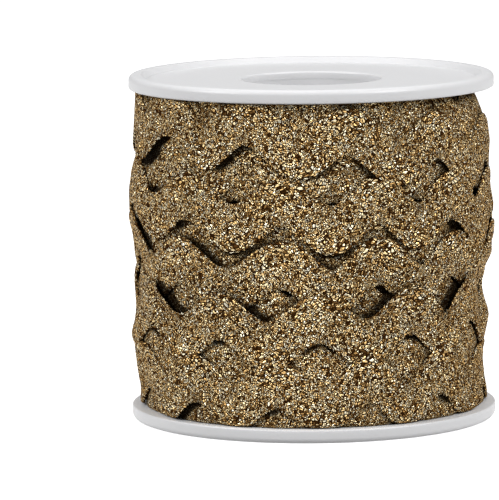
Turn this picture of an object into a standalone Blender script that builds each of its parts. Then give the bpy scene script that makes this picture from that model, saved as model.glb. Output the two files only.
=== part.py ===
"""Roll of ric rac on its spool.

A white moulded spool (two rimmed discs on a tube, open through the middle)
stands on its lower disc. A wavy braid is wound on it in several layers of
about five turns each, the wave crests of one turn lapping over the next.

Units are metres, +Z is up, the origin is the middle of the lower rim's
underside. Table values are in millimetres and degrees, and are named so.
"""
import math

import bmesh
import bpy
import numpy as np

MM = 0.001

# ---------------------------------------------------------------- spool sizes
SPOOL_HEIGHT = 66.2        # overall, rim to rim
DISC_RADIUS = 35.0
RIM_DEPTH = 2.6            # thickness of a disc at its rim
PLATE_DEPTH = 1.5          # thickness of a disc inside its rim
BORE_RADIUS = 13.4
TUBE_OUTER_RADIUS = 14.9
GAP = 0.3                  # clearance between neighbouring pieces
DISC_SEGMENTS = 64
TUBE_SEGMENTS = 48

# half section of a disc: radius from the axis, height above its inner face
DISC_PROFILE = [
    # radius_mm, height_mm   where
    (13.4, 0.00),          # bore, inner face
    (13.4, 1.15),          # bore wall
    (13.75, 1.50),         # eased edge of the bore
    (31.70, 1.50),         # floor of the recess
    (32.45, 2.52),         # sloping wall of the recess
    (32.70, 2.60),         # rim, inner edge
    (34.00, 2.60),         # rim, outer edge
    (34.48, 2.47),         # round outer corner
    (34.86, 2.09),
    (35.00, 1.60),
    (35.00, 0.28),         # side of the rim
    (34.72, 0.00),         # eased inner edge
]

# -------------------------------------------------------------- braid and roll
BAND_WIDTH = 9.0           # width of the braid across its own band
WAVE_HEIGHT = 2.3          # swing of the centre line to each side
BAND_THICK = 0.85
PRESS = 0.5                # share of its rise that braid keeps where turns lap
INNER_LEAN = 0.68          # how far the rows of braid lean with the wave
ROLL_INNER_RADIUS = 15.2
CORE_RADIUS = 31.3         # smooth wound core below the three outer layers
LAYER_RISE = 0.95          # mean height that a layer adds to the roll
ROLL_LOW = RIM_DEPTH + GAP
ROLL_HIGH = SPOOL_HEIGHT - RIM_DEPTH - GAP

# The strand is laid in helical layers. Each row below fixes the centre line's
# height at an angle; angles run on over the turns, 0 is the front (-Y) and
# they grow towards +X. Heights between rows are eased from one to the next.
LAYER_PATHS = [
    # layer, angle_deg, height_mm
    ("inner", -180, 57.0), ("inner", 0, 54.0), ("inner", 360, 42.5),
    ("inner", 720, 31.0), ("inner", 1080, 19.5), ("inner", 1350, 9.8),
    ("inner", 1620, 9.8),

    ("middle", -180, 9.8), ("middle", -60, 10.5), ("middle", 60, 12.5),
    ("middle", 300, 21.5), ("middle", 420, 24.5), ("middle", 660, 33.5),
    ("middle", 780, 36.0), ("middle", 1020, 45.0), ("middle", 1140, 47.0),
    ("middle", 1350, 56.5), ("middle", 1620, 56.5),

    ("outer", -180, 56.7), ("outer", -60, 56.7), ("outer", -21, 56.5),
    ("outer", 10, 55.7), ("outer", 45, 54.2), ("outer", 300, 43.8),
    ("outer", 334, 42.7), ("outer", 366, 42.5), ("outer", 400, 42.3),
    ("outer", 672, 30.0), ("outer", 704, 30.2), ("outer", 733, 31.0),
    ("outer", 760, 31.2), ("outer", 1050, 21.2), ("outer", 1083, 20.9),
    ("outer", 1115, 21.3), ("outer", 1150, 21.2), ("outer", 1390, 10.6),
    ("outer", 1500, 10.2), ("outer", 1620, 9.9),
]

# Angles at which a wave crest points up. Between two rows the crests are
# spread evenly, as many as fit best at WAVE_STEP.
WAVE_STEP = 33.4           # degrees a wave takes on the roll
CREST_ANGLES = [
    # layer, angle_deg
    ("inner", -180), ("inner", -8), ("inner", 352), ("inner", 709),
    ("inner", 1071), ("inner", 1433), ("inner", 1620),

    ("middle", -180), ("middle", -40), ("middle", 27), ("middle", 331),
    ("middle", 397), ("middle", 683), ("middle", 752), ("middle", 1062),
    ("middle", 1095), ("middle", 1128), ("middle", 1440), ("middle", 1620),

    ("outer", -180), ("outer", -57), ("outer", -21), ("outer", 10),
    ("outer", 45), ("outer", 318), ("outer", 350), ("outer", 382),
    ("outer", 672), ("outer", 704), ("outer", 733), ("outer", 766),
    ("outer", 1016), ("outer", 1049.5), ("outer", 1083.4), ("outer", 1114.7),
    ("outer", 1146), ("outer", 1391), ("outer", 1425), ("outer", 1457),
    ("outer", 1484), ("outer", 1620),
]

# height map in which the layers are built up
MAP_ANGLES = 360
MAP_HEIGHTS = 104

# mesh of the wound body
BODY_ANGLES = 96
BODY_ROWS = 30


# ------------------------------------------------------------ the wound layers
def layer_rows(table, layer):
    rows = np.array([row[1:] for row in table if row[0] == layer], float)
    return rows[:, 0], (rows[:, 1] if rows.shape[1] > 1 else None)


def eased(x, xs, ys):
    """Piecewise interpolation with smooth slopes (monotone cubic)."""
    h = np.diff(xs)
    d = np.diff(ys) / h
    m = np.zeros(len(xs))
    m[0], m[-1] = d[0], d[-1]
    for k in range(1, len(xs) - 1):
        if d[k - 1] * d[k] > 0:
            w1, w2 = 2 * h[k] + h[k - 1], h[k] + 2 * h[k - 1]
            m[k] = (w1 + w2) / (w1 / d[k - 1] + w2 / d[k])
    k = np.clip(np.searchsorted(xs, x) - 1, 0, len(h) - 1)
    t = (x - xs[k]) / h[k]
    a = (1 + 2 * t) * (1 - t) ** 2
    b = t * (1 - t) ** 2
    c = t * t * (3 - 2 * t)
    e = t * t * (t - 1)
    return a * ys[k] + b * h[k] * m[k] + c * ys[k + 1] + e * h[k] * m[k + 1]


def wave_phase(angle, crests):
    """Count of waves since the first crest, whole at every crest angle."""
    count = [0.0]
    for a, b in zip(crests[:-1], crests[1:]):
        count.append(count[-1] + max(1, round((b - a) / WAVE_STEP)))
    return np.interp(angle, crests, count)


def strand(layer, along=0.6, across=15):
    """Angle and height of points over the flat braid as it lies on the roll."""
    angles, heights = layer_rows(LAYER_PATHS, layer)
    crests, _ = layer_rows(CREST_ANGLES, layer)
    radius = 33.5
    n = int((angles[-1] - angles[0]) * math.pi / 180 * radius / along)
    a = np.linspace(angles[0], angles[-1], n)
    phase = 2 * np.pi * wave_phase(a, crests)
    arc = np.radians(a) * radius
    wave = WAVE_HEIGHT * np.cos(phase)
    slope = np.gradient(wave, arc)
    z = eased(a, angles, heights) + wave
    v = np.linspace(-BAND_WIDTH / 2, BAND_WIDTH / 2, across)
    norm = np.sqrt(1 + slope ** 2)
    pa = a[:, None] - np.degrees(INNER_LEAN * v[None] * (slope / norm)[:, None] / radius)
    pz = z[:, None] + v[None] / norm[:, None]
    lo, hi = ROLL_LOW + 0.1, ROLL_HIGH - 0.1
    return a, pa, np.clip(pz, lo, hi)


class HeightMap:
    """Outer radius of what is wound so far, by angle and height."""

    def __init__(self):
        ang = np.radians(np.arange(MAP_ANGLES) * 360 / MAP_ANGLES)[:, None]
        z = np.linspace(ROLL_LOW, ROLL_HIGH, MAP_HEIGHTS)[None]
        self.dz = (ROLL_HIGH - ROLL_LOW) / (MAP_HEIGHTS - 1)
        low = np.clip((12.0 - z) / 9.0, 0, 1)
        high = np.clip((z - 58.0) / 6.0, 0, 1)
        right = np.clip(np.sin(ang), 0, 1)
        self.r = (CORE_RADIUS - 0.45 * np.sin(ang) - 0.85 * low ** 2
                  - 0.9 * high ** 2 + 0.15 * np.cos(2 * ang + 0.6)
                  + 0.12 * np.sin(3 * ang + z / 9.0)
                  + 0.5 * right * np.tanh((z - 31.0) / 5.0))
        self.core = self.r.copy()

    def index(self, a, z):
        i = np.mod(a, 360.0) * MAP_ANGLES / 360.0
        j = (z - ROLL_LOW) / self.dz
        return i, np.clip(j, 0, MAP_HEIGHTS - 1.001)

    def read(self, a, z, spread=1, of=None):
        top = self.r if of is None else of
        for _ in range(spread):
            top = np.maximum(top, np.maximum(np.roll(top, 1, 0), np.roll(top, -1, 0)))
            up = np.concatenate([top[:, 1:], top[:, -1:]], 1)
            down = np.concatenate([top[:, :1], top[:, :-1]], 1)
            top = np.maximum(top, np.maximum(up, down))
        i, j = self.index(a, z)
        i0, j0 = np.floor(i).astype(int), np.floor(j).astype(int)
        fi, fj = i - i0, j - j0
        i0 %= MAP_ANGLES
        i1 = (i0 + 1) % MAP_ANGLES
        return ((1 - fi) * (1 - fj) * top[i0, j0] + fi * (1 - fj) * top[i1, j0]
                + (1 - fi) * fj * top[i0, j0 + 1] + fi * fj * top[i1, j0 + 1])

    def add(self, a, z, radius):
        i, j = self.index(a, z)
        for di in (0, 1):
            for dj in (0, 1):
                ii = (np.floor(i).astype(int) + di) % MAP_ANGLES
                jj = np.minimum(np.floor(j).astype(int) + dj, MAP_HEIGHTS - 1)
                np.maximum.at(self.r, (ii, jj), radius)


def relax(under, fixed, rounds=40):
    """A taut sheet over what lies under it, joined to the rows already laid."""
    s = under.copy()
    k = 0 if fixed is None else len(fixed)
    if k:
        s[:k] = fixed
    for _ in range(rounds):
        p = np.concatenate([s[:1], s, s[-1:]])
        t = 0.5 * s + 0.25 * (p[:-2] + p[2:])
        q = np.concatenate([t[:, :1], t, t[:, -1:]], 1)
        t = 0.5 * t + 0.25 * (q[:, :-2] + q[:, 2:])
        s = np.maximum(t, under)
        if k:
            s[:k] = fixed
    return s


def lay(height_map, layer, number):
    """Wind one layer of the braid on, a sixth of a turn at a time."""
    a, pa, pz = strand(layer)
    level = height_map.read(pa, pz, 0, height_map.core) + LAYER_RISE * number
    n = len(a)
    step = max(1, int(60.0 / (a[1] - a[0])))
    ahead, behind = step // 4, step // 4
    radius = np.zeros_like(pa)
    for start in range(0, n, step):
        lo, hi = max(0, start - behind), min(n, start + step + ahead)
        under = height_map.read(pa[lo:hi], pz[lo:hi])
        done = radius[lo:start] if start > lo else None
        if done is not None:
            under[:start - lo] = done
        laid = relax(under, done)
        end = min(n, start + step)
        flat = level[start:end]
        laid = laid[start - lo:end - lo]
        laid = np.where(laid > flat, flat + PRESS * (laid - flat), laid)
        radius[start:end] = laid
        height_map.add(pa[start:end], pz[start:end], radius[start:end] + BAND_THICK)


def wound_surface():
    height_map = HeightMap()
    for number, layer in enumerate(("inner", "middle", "outer")):
        lay(height_map, layer, number)
    return height_map


# ---------------------------------------------------------------------- meshes
def material(name, colour, roughness, metallic=0.0):
    mat = bpy.data.materials.new(name)
    mat.use_nodes = True
    shader = mat.node_tree.nodes["Principled BSDF"]
    shader.inputs["Base Color"].default_value = (*colour, 1.0)
    shader.inputs["Roughness"].default_value = roughness
    shader.inputs["Metallic"].default_value = metallic
    return mat


def add_object(name, bm, mat, sharp_deg=35.0):
    bmesh.ops.recalc_face_normals(bm, faces=bm.faces)
    mesh = bpy.data.meshes.new(name)
    bm.to_mesh(mesh)
    bm.free()
    mesh.shade_smooth()
    mesh.set_sharp_from_angle(angle=math.radians(sharp_deg))
    mesh.materials.append(mat)
    obj = bpy.data.objects.new(name, mesh)
    bpy.context.scene.collection.objects.link(obj)
    return obj


def turned(profile, segments):
    """Closed ring made by turning a closed half section about the Z axis."""
    bm = bmesh.new()
    loops = []
    for k in range(segments):
        c, s = math.cos(2 * math.pi * k / segments), math.sin(2 * math.pi * k / segments)
        loops.append([bm.verts.new((r * MM * c, r * MM * s, z * MM)) for r, z in profile])
    m = len(profile)
    for k in range(segments):
        a, b = loops[k], loops[(k + 1) % segments]
        for i in range(m):
            j = (i + 1) % m
            bm.faces.new((a[i], b[i], b[j], a[j]))
    return bm


def make_disc(name, at_top, mat):
    obj = add_object(name, turned(DISC_PROFILE, DISC_SEGMENTS), mat)
    if at_top:
        obj.location.z = (SPOOL_HEIGHT - RIM_DEPTH) * MM
    else:
        obj.rotation_euler.x = math.pi
        obj.location.z = RIM_DEPTH * MM
    return obj


def make_tube(mat):
    low, high = RIM_DEPTH + GAP, SPOOL_HEIGHT - RIM_DEPTH - GAP
    profile = [(BORE_RADIUS, low), (TUBE_OUTER_RADIUS, low),
               (TUBE_OUTER_RADIUS, high), (BORE_RADIUS, high)]
    return add_object("hub_tube", turned(profile, TUBE_SEGMENTS), mat)


def make_roll(mat):
    """The wound body: its outside follows the laid turns, its ends are flat."""
    height_map = wound_surface()
    heights = np.linspace(ROLL_LOW, ROLL_HIGH, BODY_ROWS)
    bm = bmesh.new()
    columns = []
    for k in range(BODY_ANGLES):
        front_angle = 360.0 * k / BODY_ANGLES
        around = front_angle + np.linspace(-1.8, 1.8, 5)
        a, z = np.meshgrid(around, heights, indexing="ij")
        radii = height_map.read(a, z, spread=0).mean(0)
        c = math.sin(math.radians(front_angle))
        s = -math.cos(math.radians(front_angle))
        inner_low = bm.verts.new((ROLL_INNER_RADIUS * MM * c, ROLL_INNER_RADIUS * MM * s, ROLL_LOW * MM))
        outer = [bm.verts.new((r * MM * c, r * MM * s, h * MM)) for r, h in zip(radii, heights)]
        inner_high = bm.verts.new((ROLL_INNER_RADIUS * MM * c, ROLL_INNER_RADIUS * MM * s, ROLL_HIGH * MM))
        columns.append([inner_low] + outer + [inner_high])
    m = BODY_ROWS + 2
    for k in range(BODY_ANGLES):
        a, b = columns[k], columns[(k + 1) % BODY_ANGLES]
        for i in range(m):
            j = (i + 1) % m
            bm.faces.new((a[i], b[i], b[j], a[j]))
    return add_object("ricrac_roll", bm, mat, sharp_deg=60.0)


def main():
    for obj in list(bpy.data.objects):
        bpy.data.objects.remove(obj, do_unlink=True)
    plastic = material("spool_plastic", (0.84, 0.84, 0.85), 0.42)
    plastic_low = material("spool_plastic_low", (0.82, 0.82, 0.84), 0.42)
    plastic_tube = material("spool_plastic_tube", (0.80, 0.80, 0.81), 0.45)
    braid = material("metallic_braid", (0.26, 0.17, 0.07), 0.38, 0.75)
    make_disc("spool_disc_top", True, plastic)
    make_disc("spool_disc_bottom", False, plastic_low)
    make_tube(plastic_tube)
    make_roll(braid)


main()
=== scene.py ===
"""Looks of the roll of ric rac on its spool.

The wavy metallic braid is laid turn over turn as real strips with their own
thickness, relief and beaded edges; the spool is white moulded plastic.
"""
import math

import bpy
import numpy as np
from mathutils import Matrix


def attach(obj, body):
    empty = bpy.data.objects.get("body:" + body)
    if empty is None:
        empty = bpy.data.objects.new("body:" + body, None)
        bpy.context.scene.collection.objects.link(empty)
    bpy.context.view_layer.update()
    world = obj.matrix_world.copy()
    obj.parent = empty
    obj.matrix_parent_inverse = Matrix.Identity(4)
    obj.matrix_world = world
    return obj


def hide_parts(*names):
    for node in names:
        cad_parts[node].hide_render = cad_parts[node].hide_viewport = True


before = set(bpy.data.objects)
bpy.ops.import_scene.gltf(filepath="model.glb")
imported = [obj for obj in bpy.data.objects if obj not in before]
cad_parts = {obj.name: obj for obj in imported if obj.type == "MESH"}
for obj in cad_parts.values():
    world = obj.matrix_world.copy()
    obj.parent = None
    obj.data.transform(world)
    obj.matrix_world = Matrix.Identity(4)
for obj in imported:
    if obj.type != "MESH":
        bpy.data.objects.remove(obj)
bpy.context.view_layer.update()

MM = 0.001
RNG = np.random.default_rng(3447)

# ------------------------------------------------------------------ sizes (mm)
SPOOL_HEIGHT = 66.2
DISC_RADIUS = 35.0
RIM_DEPTH = 2.6
BORE_RADIUS = 13.4
TUBE_OUTER_RADIUS = 14.9
GAP = 0.3
BAND_WIDTH = 9.0
WAVE_HEIGHT = 2.6
BAND_THICK = 0.72
PRESS = 0.6
INNER_LEAN = 0.68
CORE_RADIUS = 31.3
LAYER_RISE = 0.72
ROLL_LOW = RIM_DEPTH + GAP
ROLL_HIGH = SPOOL_HEIGHT - RIM_DEPTH - GAP
ROLL_INNER_RADIUS = 15.2

# centre line of each wound layer: angle runs on over the turns, 0 is the front
LAYER_PATHS = [
    # layer, angle_deg, height_mm
    ("inner", -180, 59.0), ("inner", 0, 58.0), ("inner", 3240, 7.0),
    ("inner", 3420, 6.6),

    ("middle", -180, 6.2), ("middle", -60, 6.2), ("middle", 60, 6.2),
    ("middle", 300, 14.4), ("middle", 420, 14.8), ("middle", 660, 25.8),
    ("middle", 780, 26.2), ("middle", 1020, 37.2), ("middle", 1140, 37.8),
    ("middle", 1380, 46.4), ("middle", 1500, 47.0), ("middle", 1740, 51.4),
    ("middle", 1860, 51.4), ("middle", 2100, 59.4), ("middle", 2160, 58.6),
    ("middle", 2220, 57.8), ("middle", 2340, 59.2), ("middle", 2500, 60.2),
    ("middle", 2620, 60.2),

    ("outer", -180, 58.6), ("outer", -60, 58.4), ("outer", -45, 58.2),
    ("outer", -12, 57.1), ("outer", 20, 54.9), ("outer", 50, 53.4),
    ("outer", 300, 43.6), ("outer", 330, 42.6), ("outer", 400, 42.2),
    ("outer", 430, 41.4), ("outer", 644, 33.3), ("outer", 673, 30.7),
    ("outer", 710, 30.8), ("outer", 742, 31.0), ("outer", 775, 31.0),
    ("outer", 1018, 21.5), ("outer", 1049, 20.9), ("outer", 1081.5, 20.8),
    ("outer", 1113, 21.2), ("outer", 1144, 21.8), ("outer", 1370, 9.2),
    ("outer", 1428, 8.6), ("outer", 1487, 8.7), ("outer", 1620, 8.4),
]
WAVE_STEP = 33.4
CREST_ANGLES = [
    # layer, angle_deg
    ("inner", -180), ("inner", -8), ("inner", 1033), ("inner", 2117),
    ("inner", 3420),

    ("middle", -180), ("middle", -57), ("middle", -26.5), ("middle", 3),
    ("middle", 32.5), ("middle", 62), ("middle", 321), ("middle", 352.5),
    ("middle", 385), ("middle", 417), ("middle", 666), ("middle", 697),
    ("middle", 729), ("middle", 760), ("middle", 1002), ("middle", 1033),
    ("middle", 1070), ("middle", 1102), ("middle", 1132), ("middle", 1382),
    ("middle", 1414), ("middle", 1447), ("middle", 1476), ("middle", 1748),
    ("middle", 1779), ("middle", 1812), ("middle", 1843.6), ("middle", 2090),
    ("middle", 2123), ("middle", 2156), ("middle", 2188), ("middle", 2220),
    ("middle", 2340), ("middle", 2500), ("middle", 2532), ("middle", 2564),
    ("middle", 2596), ("middle", 2620),

    ("outer", -180), ("outer", -52), ("outer", -21), ("outer", 12),
    ("outer", 43.6), ("outer", 317), ("outer", 350), ("outer", 382),
    ("outer", 410), ("outer", 642), ("outer", 673), ("outer", 710),
    ("outer", 742), ("outer", 772), ("outer", 1018), ("outer", 1049),
    ("outer", 1081.5), ("outer", 1113), ("outer", 1144), ("outer", 1370),
    ("outer", 1399), ("outer", 1428), ("outer", 1458), ("outer", 1487),
    ("outer", 1620),
]
# edges of the outer layer that stand off the roll, as seen from the front
LIFTED_EDGES = [
    # from_angle_deg, to_angle_deg, side (1 upper, -1 lower), lift_mm
    (-71, -57, -1, 1.0), (-56, -48, -1, 0.35), (-34, -16, -1, 0.75), (-2, 14, -1, 0.45),
    (15, 31, -1, 0.40), (38, 52, -1, 0.50),
    (294, 306, 1, 0.50), (309, 319, -1, 0.55), (331, 338, -1, 0.35), (364, 370, -1, 0.55),
    (413, 422, -1, 0.60),
    (644, 656, 1, 0.45), (676, 688, 1, 0.50), (693, 708, 1, 0.35), (718, 727, 1, 0.45),
    (752, 760, 1, 0.55), (1020, 1036, 1, 0.95), (1048, 1068, 1, 0.65),
    (1096, 1125, 1, 0.60), (1127, 1142, 1, 0.70),
    (1044, 1050, -1, 0.60), (1075, 1085, -1, 0.35), (1110, 1119, -1, 0.65),
    (1014, 1022, -1, 0.70), (1386, 1398, -1, 0.60), (1421, 1427, -1, 0.45),
    (1484, 1494, -1, 0.50),
]
# how far the winding stands out at its two sides beyond an even roll
SIDE_BULGES = [
    # height_mm, left_mm, right_mm
    (2.9, -0.6, 1.9), (5.0, -0.9, 1.4), (6.0, -1.2, 0.8), (7.2, -0.9, 0.2),
    (10.6, -0.6, -0.6), (13.0, -0.1, -0.5), (16.0, 0.9, 0.0), (19.0, 0.6, 1.0),
    (22.0, 0.1, -0.3), (26.0, 0.3, -1.2), (29.5, -0.8, -0.3), (32.0, -0.1, 1.2),
    (37.5, 0.6, 0.8), (41.0, 0.9, 0.7), (45.0, 0.6, -0.2), (49.0, -0.3, 0.0),
    (53.0, -0.4, 0.3), (58.4, -0.7, -0.9), (61.8, -0.8, -1.3), (62.9, -1.1, -3.0),
    (63.3, -1.2, -3.6),
]
MAP_ANGLES = 720
MAP_HEIGHTS = 208
LAY_RADIUS = 33.8

CELL = 0.92                # length along the braid in which its pattern repeats


# ------------------------------------------------------------ the wound layers
def layer_rows(table, layer):
    rows = np.array([row[1:] for row in table if row[0] == layer], float)
    return rows[:, 0], (rows[:, 1] if rows.shape[1] > 1 else None)


def eased(x, xs, ys):
    h = np.diff(xs)
    d = np.diff(ys) / h
    m = np.zeros(len(xs))
    m[0], m[-1] = d[0], d[-1]
    for k in range(1, len(xs) - 1):
        if d[k - 1] * d[k] > 0:
            w1, w2 = 2 * h[k] + h[k - 1], h[k] + 2 * h[k - 1]
            m[k] = (w1 + w2) / (w1 / d[k - 1] + w2 / d[k])
    k = np.clip(np.searchsorted(xs, x) - 1, 0, len(h) - 1)
    t = (x - xs[k]) / h[k]
    a = (1 + 2 * t) * (1 - t) ** 2
    b = t * (1 - t) ** 2
    c = t * t * (3 - 2 * t)
    e = t * t * (t - 1)
    return a * ys[k] + b * h[k] * m[k] + c * ys[k + 1] + e * h[k] * m[k + 1]


def wave_phase(angle, crests):
    count = [0.0]
    for a, b in zip(crests[:-1], crests[1:]):
        count.append(count[-1] + max(1, round((b - a) / WAVE_STEP)))
    return np.interp(angle, crests, count)


def smooth_noise(x, step, rng, size=1.0):
    """Smooth random curve with a value about every step along x."""
    n = int((x.max() - x.min()) / step) + 4
    knots = rng.normal(0, size, n)
    t = (x - x.min()) / step
    i = np.clip(t.astype(int), 0, n - 2)
    f = t - i
    f = f * f * (3 - 2 * f)
    return knots[i] * (1 - f) + knots[i + 1] * f


class Strand:
    """The flat braid of one layer: where each of its points lies on the roll."""

    def __init__(self, layer, seed):
        self.layer = layer
        rng = np.random.default_rng(seed)
        angles, heights = layer_rows(LAYER_PATHS, layer)
        crests, _ = layer_rows(CREST_ANGLES, layer)
        a = np.linspace(angles[0], angles[-1], 60001)
        self.a = a
        arc = np.radians(a) * LAY_RADIUS
        self.phase = wave_phase(a, crests)
        swing = WAVE_HEIGHT * (1 + smooth_noise(self.phase, 0.5, rng, 0.07))
        drift = smooth_noise(self.phase, 1.3, rng, 0.22)
        wave = swing * np.cos(2 * np.pi * self.phase)
        self.z = eased(a, angles, heights) + wave + drift
        self.slope = np.gradient(wave, arc)
        ds = np.sqrt(np.gradient(arc) ** 2 + np.gradient(self.z) ** 2)
        self.s = np.concatenate([[0], np.cumsum(0.5 * (ds[1:] + ds[:-1]))])
        self.width = BAND_WIDTH * (1 + smooth_noise(self.phase, 0.4, rng, 0.018))
        self.rng = rng
        self.length = self.s[-1]

    def at(self, s, v, beads=False):
        """Angle and height of the points (s, v); s along the braid, v across."""
        a = np.interp(s, self.s, self.a)
        z = np.interp(s, self.s, self.z)
        m = np.interp(s, self.s, self.slope)
        w = np.interp(s, self.s, self.width) / BAND_WIDTH
        vv = v[None] * w[:, None]
        if beads:
            rim = np.clip((np.abs(v) - (BAND_WIDTH / 2 - 0.5)) / 0.5, 0, 1)
            side = np.sign(v)
            bead = 0.10 * np.cos(2 * np.pi * (s[:, None] / CELL + 0.25 * side[None]))
            vv = vv + rim[None] * side[None] * bead
        norm = np.sqrt(1 + m ** 2)
        pa = a[:, None] - np.degrees(INNER_LEAN * vv * (m / norm)[:, None] / LAY_RADIUS)
        pz = z[:, None] + vv / norm[:, None]
        # at a disc the crests are stopped and bunch a little
        lo, hi = RIM_DEPTH + 0.12, SPOOL_HEIGHT - RIM_DEPTH - 0.12
        soft = 1.2
        pz = np.where(pz > hi - soft, hi - soft + soft * np.tanh((pz - hi + soft) / soft), pz)
        pz = np.where(pz < lo + soft, lo + soft - soft * np.tanh((lo + soft - pz) / soft), pz)
        return pa, pz


class HeightMap:
    """Outer radius of what is wound so far, by angle and height."""

    def __init__(self):
        ang = np.radians(np.arange(MAP_ANGLES) * 360 / MAP_ANGLES)[:, None]
        z = np.linspace(ROLL_LOW, ROLL_HIGH, MAP_HEIGHTS)[None]
        self.dz = (ROLL_HIGH - ROLL_LOW) / (MAP_HEIGHTS - 1)
        side, front = np.sin(ang), np.clip(np.cos(ang), 0, 1)
        low = np.clip((12.0 - z) / 9.0, 0, 1) ** 2
        high = np.clip((z - 57.5) / 6.0, 0, 1) ** 2
        right = np.clip(side, 0, 1)
        self.r = (CORE_RADIUS - 0.45 * side + 0.12 * np.sin(3 * ang + z / 9.0)
                  - low * (0.9 + 0.3 * side - 0.8 * front ** 2)
                  - high * (0.7 + 0.8 * side - 0.7 * front ** 2)
                  + 0.5 * right * np.tanh((z - 31.0) / 5.0))
        bulge = np.array(SIDE_BULGES)
        self.r = (self.r + np.interp(z, bulge[:, 0], bulge[:, 1]) * np.clip(-side, 0, 1) ** 3
                  + np.interp(z, bulge[:, 0], bulge[:, 2]) * right ** 3)
        self.core = self.r.copy()

    def index(self, a, z):
        i = np.mod(a, 360.0) * MAP_ANGLES / 360.0
        j = (z - ROLL_LOW) / self.dz
        return i, np.clip(j, 0, MAP_HEIGHTS - 1.001)

    def read(self, a, z, spread=1, of=None):
        top = self.r if of is None else of
        for _ in range(spread):
            top = np.maximum(top, np.maximum(np.roll(top, 1, 0), np.roll(top, -1, 0)))
            up = np.concatenate([top[:, 1:], top[:, -1:]], 1)
            down = np.concatenate([top[:, :1], top[:, :-1]], 1)
            top = np.maximum(top, np.maximum(up, down))
        i, j = self.index(a, z)
        i0, j0 = np.floor(i).astype(int), np.floor(j).astype(int)
        fi, fj = i - i0, j - j0
        i0 %= MAP_ANGLES
        i1 = (i0 + 1) % MAP_ANGLES
        return ((1 - fi) * (1 - fj) * top[i0, j0] + fi * (1 - fj) * top[i1, j0]
                + (1 - fi) * fj * top[i0, j0 + 1] + fi * fj * top[i1, j0 + 1])

    def add(self, a, z, radius):
        i, j = self.index(a, z)
        for di in (0, 1):
            for dj in (0, 1):
                ii = (np.floor(i).astype(int) + di) % MAP_ANGLES
                jj = np.minimum(np.floor(j).astype(int) + dj, MAP_HEIGHTS - 1)
                np.maximum.at(self.r, (ii, jj), radius)


def relax(under, done, rounds=70):
    s = under.copy()
    k = 0 if done is None else len(done)
    if k:
        s[:k] = done
    for _ in range(rounds):
        p = np.concatenate([s[:1], s, s[-1:]])
        t = 0.5 * s + 0.25 * (p[:-2] + p[2:])
        q = np.concatenate([t[:, :1], t, t[:, -1:]], 1)
        t = 0.5 * t + 0.25 * (q[:, :-2] + q[:, 2:])
        s = np.maximum(t, under)
        if k:
            s[:k] = done
    return s


def blur(field, rounds):
    for _ in range(rounds):
        p = np.concatenate([field[:1], field, field[-1:]])
        field = 0.5 * field + 0.25 * (p[:-2] + p[2:])
        q = np.concatenate([field[:, :1], field, field[:, -1:]], 1)
        field = 0.5 * field + 0.25 * (q[:, :-2] + q[:, 2:])
    return field


def lay(height_map, strand, number):
    """Winds the strand on; keeps the radius of its underside on a grid."""
    s = np.arange(0, strand.length, 0.3)
    v = np.linspace(-BAND_WIDTH / 2, BAND_WIDTH / 2, 31)
    pa, pz = strand.at(s, v)
    level = height_map.read(pa, pz, 0, height_map.core) + LAYER_RISE * number
    n = len(s)
    step, side = 130, 34
    radius = np.zeros_like(pa)
    for start in range(0, n, step):
        lo, hi = max(0, start - side), min(n, start + step + side)
        under = height_map.read(pa[lo:hi], pz[lo:hi])
        done = radius[lo:start] if start > lo else None
        if done is not None:
            under[:start - lo] = done
        laid = relax(under, done)
        end = min(n, start + step)
        flat = level[start:end]
        laid = laid[start - lo:end - lo]
        laid = np.where(laid > flat, flat + PRESS * (laid - flat), laid)
        radius[start:end] = laid
        height_map.add(pa[start:end], pz[start:end], radius[start:end] + BAND_THICK)
    strand.grid = (s, v, pa, pz, blur(radius, 2))


def sample_grid(s0, v0, field, s, v):
    i = np.clip((s - s0[0]) / (s0[1] - s0[0]), 0, len(s0) - 1.001)
    j = np.clip((v - v0[0]) / (v0[1] - v0[0]), 0, len(v0) - 1.001)
    i0, j0 = i.astype(int), j.astype(int)
    fi, fj = (i - i0)[:, None], (j - j0)[None]
    a = field[i0][:, j0] * (1 - fj) + field[i0][:, j0 + 1] * fj
    b = field[i0 + 1][:, j0] * (1 - fj) + field[i0 + 1][:, j0 + 1] * fj
    return a * (1 - fi) + b * fi


def flare(strand, height_map, share, table=()):
    """Free edges stand off the roll a little, each by its own amount."""
    s, v, pa, pz, radius = strand.grid
    over = height_map.read(pa, pz, 0) - (radius + BAND_THICK)
    cover = np.clip(blur(np.clip(over / 0.35, 0, 1), 6), 0, 1)
    phase = np.interp(s, strand.s, strand.phase)
    angle = np.interp(s, strand.s, strand.a)
    up = np.cos(2 * np.pi * phase)
    k = np.round(2 * phase).astype(int)
    amount = strand.rng.gamma(1.4, 0.24, k.max() + 2)
    amount = np.minimum(amount, 1.25)[k] * share
    turned = np.abs(np.mod(angle + 180, 360) - 180)
    if len(table):
        amount = amount * np.clip((turned - 75) / 15, 0.12, 1)
    out = v[None] / (BAND_WIDTH / 2) * np.sign(up)[:, None]
    edge = np.clip((out - 0.05) / 0.95, 0, 1) ** 1.7
    free = np.clip(1 - 1.6 * cover, 0, 1)
    lift = amount[:, None] * np.abs(up)[:, None] ** 1.3 * edge * free
    # notches dip under the crest beside them
    dip = np.clip((-out - 0.35) / 0.65, 0, 1) ** 1.5 * np.abs(up)[:, None] ** 2
    lift = lift - 0.15 * dip * free
    for start, end, side, size in table:
        span = np.clip(np.minimum(angle - start, end - angle) / 4.0 + 0.5, 0, 1)
        span = span * span * (3 - 2 * span)
        rise = np.clip((side * v / (BAND_WIDTH / 2) - 0.50) / 0.50, 0, 1) ** 1.3
        lift = lift + 1.7 * size * span[:, None] * rise[None]
    strand.flat = radius
    strand.grid = (s, v, pa, pz, radius + blur(lift, 2))


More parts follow.
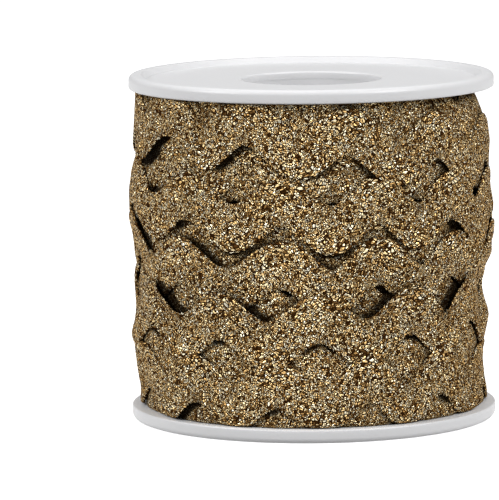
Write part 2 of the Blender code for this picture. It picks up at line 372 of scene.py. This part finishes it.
def spread_maps(field, times):
    """The field, each time with every cell raised to the highest around it."""
    maps, top = [], field
    for _ in range(times):
        top = np.maximum(top, np.maximum(np.roll(top, 1, 0), np.roll(top, -1, 0)))
        up = np.concatenate([top[:, 1:], top[:, -1:]], 1)
        down = np.concatenate([top[:, :1], top[:, :-1]], 1)
        top = np.maximum(top, np.maximum(up, down))
        maps.append(top)
    return maps


def overhang_maps(height_map, strand):
    """The wound outside, and how far its edges stand off, each spread by 1 to 3 cells."""
    _, _, pa, pz, radius = strand.grid
    stand = HeightMap()
    stand.r = np.zeros_like(stand.r)
    stand.add(pa, pz, np.clip(radius - strand.flat, 0, None))
    return spread_maps(height_map.r, 3), spread_maps(stand.r, 3)


def crevice_shade(height_map, maps, a, z, top):
    """How far under its neighbours' edges the braid lies, 0 to 1; this is painted shade, which darkens the colour
    in the crevices.
    """
    painted_shade = 0
    for outside, stand in zip(*maps):
        over = height_map.read(a, z, 0, outside) - top
        near = np.clip((over - 0.27) / 0.20, 0, 1)
        lift = height_map.read(a, z, 0, stand)
        painted_shade = painted_shade + near * np.clip((0.50 * over + 0.55 * lift - 0.14) / 0.90, 0, 1)
    return painted_shade / 3


# ---------------------------------------------------------------------- meshes
def new_object(name, verts, quads, mats, smooth=True):
    mesh = bpy.data.meshes.new(name)
    verts = np.asarray(verts, np.float32)
    quads = np.asarray(quads, np.int32)
    mesh.vertices.add(len(verts))
    mesh.vertices.foreach_set("co", verts.ravel())
    mesh.loops.add(quads.size)
    mesh.loops.foreach_set("vertex_index", quads.ravel())
    mesh.polygons.add(len(quads))
    mesh.polygons.foreach_set("loop_start", np.arange(0, quads.size, 4, dtype=np.int32))
    mesh.update(calc_edges=True)
    if smooth:
        mesh.shade_smooth()
    for mat in mats:
        mesh.materials.append(mat)
    obj = bpy.data.objects.new(name, mesh)
    bpy.context.scene.collection.objects.link(obj)
    return obj


def to_xyz(a, z, r):
    t = np.radians(a)
    return np.stack([r * np.sin(t), -r * np.cos(t), z], -1) * MM


def weave_coords(s, v, seed):
    """Counts of the two yarn families that cross in the braid, a bit uneven."""
    rng = np.random.default_rng(seed)
    f = rng.uniform(0, 6.28, 6)
    S, V = s[:, None], v[None]
    wob_p = 0.20 * np.sin(1.9 * S + 0.8 * V + f[0]) + 0.16 * np.sin(0.83 * S - 1.7 * V + f[1]) \
        + 0.10 * np.sin(3.7 * S + 2.9 * V + f[2])
    wob_q = 0.20 * np.sin(1.7 * S - 1.1 * V + f[3]) + 0.16 * np.sin(0.91 * S + 1.5 * V + f[4]) \
        + 0.10 * np.sin(3.3 * S - 3.1 * V + f[5])
    p = (S + V) / CELL + wob_p
    q = (S - V) / CELL + wob_q
    return p, q


def relief(p, q, rng):
    """Raised floats of the yarns, each its own height, level where they meet."""
    i, j = np.floor(p).astype(int), np.floor(q).astype(int)
    fp, fq = p - i - 0.5, q - j - 0.5
    table = rng.uniform(0.45, 1.0, (512, 512))
    return np.cos(np.pi * fp) * np.cos(np.pi * fq) * table[i % 512, j % 512]


def strip_piece(name, strand, s_lo, s_hi, ds, across, mats, seed, fine):
    s0, v0, _, _, radius = strand.grid
    count = max(2, int(round((s_hi - s_lo) / ds))) + 1
    s = s_lo + ds * np.arange(count)
    s = s[s <= strand.length - 0.01]
    count = len(s)
    v = np.linspace(-BAND_WIDTH / 2, BAND_WIDTH / 2, across)
    pa, pz = strand.at(s, v, beads=fine)
    r = sample_grid(s0, v0, radius, s, v)
    cut = np.clip(1 - s / 5.0, 0, 1) + np.clip(1 - (strand.length - s) / 5.0, 0, 1)
    r = r - 1.3 * (cut * cut * (3 - 2 * cut))[:, None]
    p, q = weave_coords(s, v, seed)
    edge = np.abs(v) / (BAND_WIDTH / 2)
    thick = BAND_THICK * (1 - 0.30 * np.clip((edge - 0.72) / 0.28, 0, 1) ** 2)
    # a faint corded line runs along each edge
    thick = thick + 0.04 * np.exp(-((edge - 0.90) / 0.05) ** 2)
    top = r + thick[None]
    # painted shade: how far under the neighbours' edges each point lies, later darkening its colour
    painted_shade = crevice_shade(height_map, PAINTED_SHADE_MAPS, pa, pz, top)
    if fine:
        top = top + 0.070 * relief(p, q, np.random.default_rng(seed + 1))
    # the underside bends where the edges lift
    cols = [0, across // 4, across // 2, across - 1 - across // 4, across - 1]
    if strand.layer != "outer":
        cols = [0, across - 1]
    m = len(cols)
    low = r[:, cols] + 0.05
    verts_top = to_xyz(pa, pz, top).reshape(-1, 3)
    verts_low = to_xyz(pa[:, cols], pz[:, cols], low).reshape(-1, 3)
    base = len(verts_top)
    I = np.arange(count - 1)[:, None]
    J = np.arange(across - 1)[None]
    a = I * across + J
    faces = np.stack([a, a + across, a + across + 1, a + 1], -1).reshape(-1, 4)
    k = np.arange(count - 1)
    left = np.stack([k * across, base + m * k, base + m * (k + 1), (k + 1) * across], -1)
    right = np.stack([(k + 1) * across + across - 1, base + m * (k + 2) - 1, base + m * (k + 1) - 1,
                      k * across + across - 1], -1)
    c = base + m * k[:, None] + np.arange(m - 1)[None]
    under = np.stack([c, c + 1, c + m + 1, c + m], -1).reshape(-1, 4)
    obj = new_object(name, np.concatenate([verts_top, verts_low]),
                     np.concatenate([faces, left, right, under]), mats)
    me = obj.data
    weave = np.zeros((len(me.vertices), 3), np.float32)
    weave[:base, 0] = p.ravel()
    weave[:base, 1] = q.ravel()
    weave[base:, 0] = p[:, cols].ravel() + 0.4
    weave[base:, 1] = q[:, cols].ravel() - 0.4
    weave[:, 2] = seed % 97
    att = me.attributes.new("weave", "FLOAT_VECTOR", "POINT")
    att.data.foreach_set("vector", weave.ravel())
    along = np.zeros((len(me.vertices), 3), np.float32)
    along[:base, 0] = np.repeat(s, across)
    along[:base, 1] = np.tile(v, count)
    # the third value is painted shade: crevices under the edges, and the strip's sides and underside at 0.9,
    # nearly black
    along[:base, 2] = painted_shade.ravel()
    along[base:, 2] = 0.9
    along[base:, 0] = np.repeat(s, m)
    along[base:, 1] = np.tile(v[cols], count)
    att = me.attributes.new("along", "FLOAT_VECTOR", "POINT")
    att.data.foreach_set("vector", along.ravel())
    return obj


def turned_piece(name, profile, segments, mats, sharp=40.0):
    prof = np.array(profile, float)
    m = len(prof)
    t = 2 * np.pi * np.arange(segments) / segments
    r = prof[:, 0][None]
    verts = np.stack([r * np.cos(t)[:, None], r * np.sin(t)[:, None],
                      np.repeat(prof[:, 1][None], segments, 0)], -1).reshape(-1, 3) * MM
    k = np.arange(segments)[:, None]
    i = np.arange(m)[None]
    k2, i2 = (k + 1) % segments, (i + 1) % m
    quads = np.stack([k * m + i, k2 * m + i, k2 * m + i2, k * m + i2], -1).reshape(-1, 4)
    obj = new_object(name, verts, quads, mats)
    obj.data.set_sharp_from_angle(angle=math.radians(sharp))
    return obj


def arc(cx, cy, radius, start, end, steps):
    t = np.radians(np.linspace(start, end, steps))
    return [(cx + radius * math.cos(x), cy + radius * math.sin(x)) for x in t]


def disc_profile(flip):
    """Half section of a disc with its eased edges; heights from the inner face."""
    p = [(BORE_RADIUS, 0.0), (BORE_RADIUS, 1.12)]
    p += arc(BORE_RADIUS + 0.38, 1.12, 0.38, 180, 90, 6)[1:]
    p += [(14.6, 1.50), (20.0, 1.50), (26.0, 1.50), (31.45, 1.50)]
    p += arc(31.45, 1.80, 0.30, 270, 342, 5)[1:]
    p += arc(32.72, 2.28, 0.32, 162, 90, 5)
    p += [(33.4, 2.60)]
    p += arc(33.95, 1.55, 1.05, 90, 0, 12)
    p += [(35.0, 0.9)]
    p += arc(34.72, 0.28, 0.28, 0, -90, 5)
    p += [(30.0, 0.0), (22.0, 0.0)]
    if flip:
        return [(r, RIM_DEPTH - h) for r, h in p][::-1]
    return [(r, SPOOL_HEIGHT - RIM_DEPTH + h) for r, h in p]


# ------------------------------------------------------------------- materials
class Nodes:
    def __init__(self, name):
        self.mat = bpy.data.materials.new(name)
        self.mat.use_nodes = True
        self.tree = self.mat.node_tree
        self.shader = self.tree.nodes["Principled BSDF"]

    def add(self, kind, **props):
        node = self.tree.nodes.new(kind)
        for key, value in props.items():
            setattr(node, key, value)
        return node

    def link(self, a, b):
        self.tree.links.new(a, b)

    def math(self, op, a, b=None, c=None, clamp=False):
        node = self.add("ShaderNodeMath", operation=op, use_clamp=clamp)
        for k, x in enumerate((a, b, c)):
            if x is None:
                continue
            if isinstance(x, (int, float)):
                node.inputs[k].default_value = x
            else:
                self.link(x, node.inputs[k])
        return node.outputs[0]

    def mix(self, fac, a, b):
        node = self.add("ShaderNodeMix", data_type="RGBA")
        for x, sock in ((fac, node.inputs[0]), (a, node.inputs[6]), (b, node.inputs[7])):
            if isinstance(x, tuple):
                sock.default_value = (*x, 1.0) if len(x) == 3 else x
            elif isinstance(x, (int, float)):
                sock.default_value = x
            else:
                self.link(x, sock)
        return node.outputs[2]

    def mixf(self, fac, a, b):
        node = self.add("ShaderNodeMix", data_type="FLOAT")
        for x, sock in ((fac, node.inputs[0]), (a, node.inputs[2]), (b, node.inputs[3])):
            if isinstance(x, (int, float)):
                sock.default_value = x
            else:
                self.link(x, sock)
        return node.outputs[0]

    def ramp(self, value, stops, interpolation="LINEAR"):
        node = self.add("ShaderNodeValToRGB")
        node.color_ramp.interpolation = interpolation
        els = node.color_ramp.elements
        while len(els) < len(stops):
            els.new(0.5)
        for el, (pos, col) in zip(els, stops):
            el.position = pos
            el.color = (*col, 1.0)
        self.link(value, node.inputs[0])
        return node.outputs[0]

    def step(self, x, lo, hi):
        node = self.add("ShaderNodeMapRange", interpolation_type="SMOOTHSTEP", clamp=True)
        node.inputs["From Min"].default_value = lo
        node.inputs["From Max"].default_value = hi
        self.link(x, node.inputs["Value"])
        return node.outputs["Result"]


def braid_material(name, tone=1.0):
    """Gold film flecks over dark brown yarn, each its own shape and tone; a tone below 1 gives a darkened copy as
    painted shade, the along attribute paints crevice shade, and the palest flecks are partly painted highlight.
    """
    n = Nodes(name)
    att = n.add("ShaderNodeAttribute", attribute_name="weave", attribute_type="GEOMETRY")
    sep = n.add("ShaderNodeSeparateXYZ")
    n.link(att.outputs["Vector"], sep.inputs[0])
    p, q, sid = sep.outputs

    def flecks(scale_p, scale_q, shift):
        """Cells of one slant: edge distance, three random numbers, place in the cell."""
        at = n.add("ShaderNodeCombineXYZ")
        n.link(n.math("MULTIPLY_ADD", p, scale_p, shift), at.inputs[0])
        n.link(n.math("MULTIPLY", q, scale_q), at.inputs[1])
        cell = n.add("ShaderNodeTexVoronoi", voronoi_dimensions="2D", feature="F1")
        edge = n.add("ShaderNodeTexVoronoi", voronoi_dimensions="2D", feature="DISTANCE_TO_EDGE")
        for tex in (cell, edge):
            tex.inputs["Scale"].default_value = 1.0
            tex.inputs["Randomness"].default_value = 0.85
            n.link(at.outputs[0], tex.inputs["Vector"])
        away = n.add("ShaderNodeVectorMath", operation="SUBTRACT")
        n.link(at.outputs[0], away.inputs[0])
        n.link(cell.outputs["Position"], away.inputs[1])
        parts = n.add("ShaderNodeSeparateXYZ")
        n.link(away.outputs[0], parts.inputs[0])
        rgb = n.add("ShaderNodeSeparateColor")
        n.link(cell.outputs["Color"], rgb.inputs[0])
        return [edge.outputs["Distance"], *rgb.outputs[:3], *parts.outputs[:2]]

    rise, fall = flecks(1.30, 1.88, 0.0), flecks(1.88, 1.30, 51.3)
    # the slant changes from place to place with the plait
    spot = n.add("ShaderNodeCombineXYZ")
    n.link(p, spot.inputs[0]); n.link(q, spot.inputs[1]); n.link(sid, spot.inputs[2])
    plait = n.add("ShaderNodeTexNoise")
    plait.inputs["Scale"].default_value = 0.55
    plait.inputs["Detail"].default_value = 1.0
    n.link(spot.outputs[0], plait.inputs["Vector"])
    slant = n.math("GREATER_THAN", plait.outputs["Fac"], 0.53)
    gap, pick, c2, c3, lx, ly = (n.mixf(slant, a, b) for a, b in zip(rise, fall))

    body = n.step(gap, 0.15, 0.22)
    # random fleck tones; the palest cream stops also stand in for glints of the foil, so they are partly painted
    # highlight
    gold = n.ramp(pick, [
        (0.00, (0.040 * tone, 0.014 * tone, 0.003 * tone)),
        (0.10, (0.090 * tone, 0.036 * tone, 0.008 * tone)),
        (0.28, (0.400 * tone, 0.222 * tone, 0.070 * tone)),
        (0.48, (0.880 * tone, 0.575 * tone, 0.235 * tone)),
        (0.72, (1.000 * tone, 0.800 * tone, 0.445 * tone)),
        (1.00, (1.000 * tone, 0.940 * tone, 0.740 * tone)),
    ])
    ground = n.mix(c3, (0.012 * tone, 0.0042 * tone, 0.0008 * tone), (0.036 * tone, 0.0135 * tone, 0.0028 * tone))
    place = n.add("ShaderNodeAttribute", attribute_name="along", attribute_type="GEOMETRY")
    lie = n.add("ShaderNodeSeparateXYZ")
    n.link(place.outputs["Vector"], lie.inputs[0])
    # painted shade: under the neighbours' edges and on the strip's sides and underside the colour goes nearly
    # black and the metal fades
    painted_shade = n.step(lie.outputs[2], 0.05, 0.75)
    painted_shade = n.math("MULTIPLY", painted_shade, 0.93)
    n.link(n.mix(painted_shade, n.mix(body, ground, gold), (0.004, 0.0016, 0.0005)), n.shader.inputs["Base Color"])
    film = n.math("MULTIPLY", body, n.step(pick, 0.10, 0.35))
    film = n.math("MULTIPLY", film, n.math("SUBTRACT", 1.0, painted_shade))
    n.link(n.math("MULTIPLY", film, 0.70), n.shader.inputs["Metallic"])
    n.link(n.mixf(film, 0.95, 0.27), n.shader.inputs["Roughness"])
    # each fleck is domed and tips its own way, so each catches the light in its own measure
    tip = n.math("ADD",
                 n.math("MULTIPLY", n.math("SUBTRACT", c2, 0.5), n.math("MULTIPLY", lx, 4.0)),
                 n.math("MULTIPLY", n.math("SUBTRACT", c3, 0.5), n.math("MULTIPLY", ly, 4.0)))
    high = n.math("MULTIPLY", n.step(gap, 0.0, 0.42), n.math("ADD", 0.8, tip))
    bump = n.add("ShaderNodeBump")
    bump.inputs["Strength"].default_value = 0.8
    bump.inputs["Distance"].default_value = 0.00017
    n.link(high, bump.inputs["Height"])
    n.link(bump.outputs[0], n.shader.inputs["Normal"])
    n.shader.inputs["Specular IOR Level"].default_value = 0.04
    n.shader.inputs["Specular Tint"].default_value = (0.70, 0.48, 0.24, 1.0)
    return n.mat


def core_painted_shade_material():
    n = Nodes("inner_turns_painted_shade")
    coord = n.add("ShaderNodeTexCoord")
    vor = n.add("ShaderNodeTexVoronoi", feature="F1")
    vor.inputs["Scale"].default_value = 1700.0
    n.link(coord.outputs["Object"], vor.inputs["Vector"])
    sep = n.add("ShaderNodeSeparateColor")
    n.link(vor.outputs["Color"], sep.inputs[0])
    # near black throughout: painted shade for the turns lying deep in the roll
    col = n.ramp(sep.outputs[0], [(0.0, (0.006, 0.003, 0.001)), (0.6, (0.03, 0.016, 0.006)),
                                  (1.0, (0.20, 0.12, 0.05))])
    n.link(col, n.shader.inputs["Base Color"])
    n.shader.inputs["Roughness"].default_value = 0.7
    return n.mat


def plastic_material(name, colour):
    """White moulded polystyrene: satin, faintly milky, with a soft grain."""
    n = Nodes(name)
    coord = n.add("ShaderNodeTexCoord")
    big = n.add("ShaderNodeTexNoise")
    big.inputs["Scale"].default_value = 55.0
    big.inputs["Detail"].default_value = 3.0
    n.link(coord.outputs["Object"], big.inputs["Vector"])
    shade = tuple(c * 0.965 for c in colour)
    n.link(n.mix(big.outputs["Fac"], colour, shade), n.shader.inputs["Base Color"])
    fine = n.add("ShaderNodeTexNoise")
    fine.inputs["Scale"].default_value = 1500.0
    fine.inputs["Detail"].default_value = 2.0
    n.link(coord.outputs["Object"], fine.inputs["Vector"])
    n.link(n.mixf(fine.outputs["Fac"], 0.34, 0.46), n.shader.inputs["Roughness"])
    bump = n.add("ShaderNodeBump")
    bump.inputs["Strength"].default_value = 0.10
    bump.inputs["Distance"].default_value = 0.00004
    n.link(fine.outputs["Fac"], bump.inputs["Height"])
    n.link(bump.outputs[0], n.shader.inputs["Normal"])
    n.shader.inputs["Subsurface Weight"].default_value = 0.25
    n.shader.inputs["Subsurface Radius"].default_value = (1.0, 0.95, 0.9)
    n.shader.inputs["Subsurface Scale"].default_value = 0.0012
    n.shader.inputs["IOR"].default_value = 1.5
    return n.mat


def paper_material():
    n = Nodes("pale_floor")
    n.shader.inputs["Base Color"].default_value = (0.93, 0.93, 0.93, 1.0)
    n.shader.inputs["Roughness"].default_value = 0.9
    n.shader.inputs["Specular IOR Level"].default_value = 0.1
    n.shader.inputs["Emission Color"].default_value = (1.0, 1.0, 1.0, 1.0)
    n.shader.inputs["Emission Strength"].default_value = 0.60
    return n.mat


# ---------------------------------------------------------------- camera, light
def add_camera():
    d, e, f = 964.97, math.radians(7.4604), 5017.5
    roll, pan, tilt = (math.radians(x) for x in (-0.5143, -0.72, -0.0654))
    mid = np.array([0, 0, SPOOL_HEIGHT / 2])
    back = np.array([0, -math.cos(e), math.sin(e)])
    eye = mid + d * back
    fwd = -back
    right = np.array([1.0, 0, 0])
    up = np.cross(right, fwd)
    f1 = fwd * math.cos(pan) + right * math.sin(pan)
    r1 = right * math.cos(pan) - fwd * math.sin(pan)
    f2 = f1 * math.cos(tilt) + up * math.sin(tilt)
    u2 = up * math.cos(tilt) - f1 * math.sin(tilt)
    r3 = r1 * math.cos(roll) + u2 * math.sin(roll)
    u3 = u2 * math.cos(roll) - r1 * math.sin(roll)
    data = bpy.data.cameras.new("camera")
    data.sensor_fit = "AUTO"
    data.sensor_width = 36.0
    data.sensor_height = 36.0
    data.lens = f * 36.0 / 500.0
    data.clip_start, data.clip_end = 0.05, 20.0
    cam = bpy.data.objects.new("camera", data)
    m = Matrix.Identity(4)
    for k in range(3):
        m[k][0], m[k][1], m[k][2], m[k][3] = r3[k], u3[k], -f2[k], eye[k] * MM
    cam.matrix_world = m
    bpy.context.scene.collection.objects.link(cam)
    bpy.context.scene.camera = cam


def add_area(name, place, target, size, power, colour=(1, 1, 1)):
    data = bpy.data.lights.new(name, "AREA")
    data.shape = "RECTANGLE"
    data.size, data.size_y = size
    data.energy = power
    data.color = colour
    obj = bpy.data.objects.new(name, data)
    z = np.array(place, float) - np.array(target, float)
    z /= np.linalg.norm(z)
    x = np.cross([0, 0, 1.0], z)
    x /= np.linalg.norm(x)
    y = np.cross(z, x)
    m = Matrix.Identity(4)
    for k in range(3):
        m[k][0], m[k][1], m[k][2], m[k][3] = x[k], y[k], z[k], place[k]
    obj.matrix_world = m
    bpy.context.scene.collection.objects.link(obj)


def add_light_and_floor():
    world = bpy.data.worlds.new("studio")
    world.use_nodes = True
    world.node_tree.nodes["Background"].inputs[0].default_value = (1.0, 1.0, 1.0, 1.0)
    world.node_tree.nodes["Background"].inputs[1].default_value = 0.33
    bpy.context.scene.world = world
    bpy.context.scene.view_settings.view_transform = "Standard"
    add_area("key_right", (0.79, -0.54, 0.75), (0, 0, 0.033), (0.50, 0.50), 10.2)
    add_area("fill_left", (-0.91, -0.38, 0.68), (0, 0, 0.033), (0.5, 0.5), 8.6)
    add_area("top_soft", (-0.10, 0.10, 1.05), (0, 0, 0.033), (0.9, 0.9), 2.2)
    s = 3.0
    floor = new_object("floor", [(-s, -s, 0), (s, -s, 0), (s, s, 0), (-s, s, 0)], [(0, 1, 2, 3)],
                       [paper_material()], smooth=False)
    floor.visible_diffuse = False


# ----------------------------------------------------------------------- build
add_camera()
add_light_and_floor()

white = plastic_material("spool_plastic", (0.70, 0.70, 0.71))
for flip, name in ((False, "spool_disc_top"), (True, "spool_disc_bottom")):
    disc = turned_piece(name + "_moulding", disc_profile(flip), 200, [white])
    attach(disc, "root")
    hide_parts(name)
low, high = RIM_DEPTH + GAP, SPOOL_HEIGHT - RIM_DEPTH - GAP
tube = turned_piece("hub_tube_moulding", [
    (BORE_RADIUS, low - 0.28), (TUBE_OUTER_RADIUS, low - 0.28),
    (TUBE_OUTER_RADIUS, high + 0.28), (BORE_RADIUS, high + 0.28)], 128, [white])
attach(tube, "root")
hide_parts("hub_tube")

height_map = HeightMap()
strands = [Strand("inner", 11), Strand("middle", 23), Strand("outer", 38)]
for number, strand in enumerate(strands):
    lay(height_map, strand, number)
flare(strands[0], height_map, 0.0)
flare(strands[1], height_map, 0.25)
flare(strands[2], height_map, 1.0, LIFTED_EDGES)

# maps for the painted shade: how far the wound outside and the lifted edges stand over each point
PAINTED_SHADE_MAPS = overhang_maps(height_map, strands[2])
gold = braid_material("gold_braid")
# the same braid darkened to a tone of 0.16 for the turns lying under the outer ones: painted shade
painted_shade_braid = braid_material("gold_braid_painted_shade", 0.16)


def add_turns(strand, name, turns, ds, across, mat, seed, fine):
    cuts = np.round(np.linspace(0, strand.length, turns + 1) / ds) * ds
    for k in range(turns):
        label = f"{name}_{k + 1}" if turns > 1 else name
        piece = strip_piece(label, strand, cuts[k], cuts[k + 1], ds, across, [mat], seed, fine)
        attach(piece, "root")
        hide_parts("ricrac_roll")


add_turns(strands[2], "ricrac_turn", 6, 0.21, 46, gold, 500, True)
add_turns(strands[1], "ricrac_second_layer", 3, 0.38, 24, gold, 310, True)
add_turns(strands[0], "ricrac_third_layer", 1, 1.1, 11, painted_shade_braid, 170, False)

# the turns wound below those three layers are a near-black stand-in: painted shade that shows in the gaps
rows = np.linspace(ROLL_LOW, ROLL_HIGH, 40)
cols = np.arange(0, 360, 3.0)
A, Z = np.meshgrid(cols, rows, indexing="ij")
core_r = height_map.read(A, Z, 0, height_map.core) - 0.05
core_r = np.concatenate([np.full((len(cols), 1), ROLL_INNER_RADIUS), core_r,
                         np.full((len(cols), 1), ROLL_INNER_RADIUS)], 1)
Zc = np.concatenate([Z[:, :1], Z, Z[:, -1:]], 1)
Ac = np.concatenate([A[:, :1], A, A[:, -1:]], 1)
m = Zc.shape[1]
k = np.arange(len(cols))[:, None]
i = np.arange(m)[None]
k2, i2 = (k + 1) % len(cols), (i + 1) % m
core = new_object("ricrac_inner_turns", to_xyz(Ac, Zc, core_r).reshape(-1, 3),
                  np.stack([k * m + i, k2 * m + i, k2 * m + i2, k * m + i2], -1).reshape(-1, 4),
                  [core_painted_shade_material()])
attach(core, "root")
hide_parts("ricrac_roll")
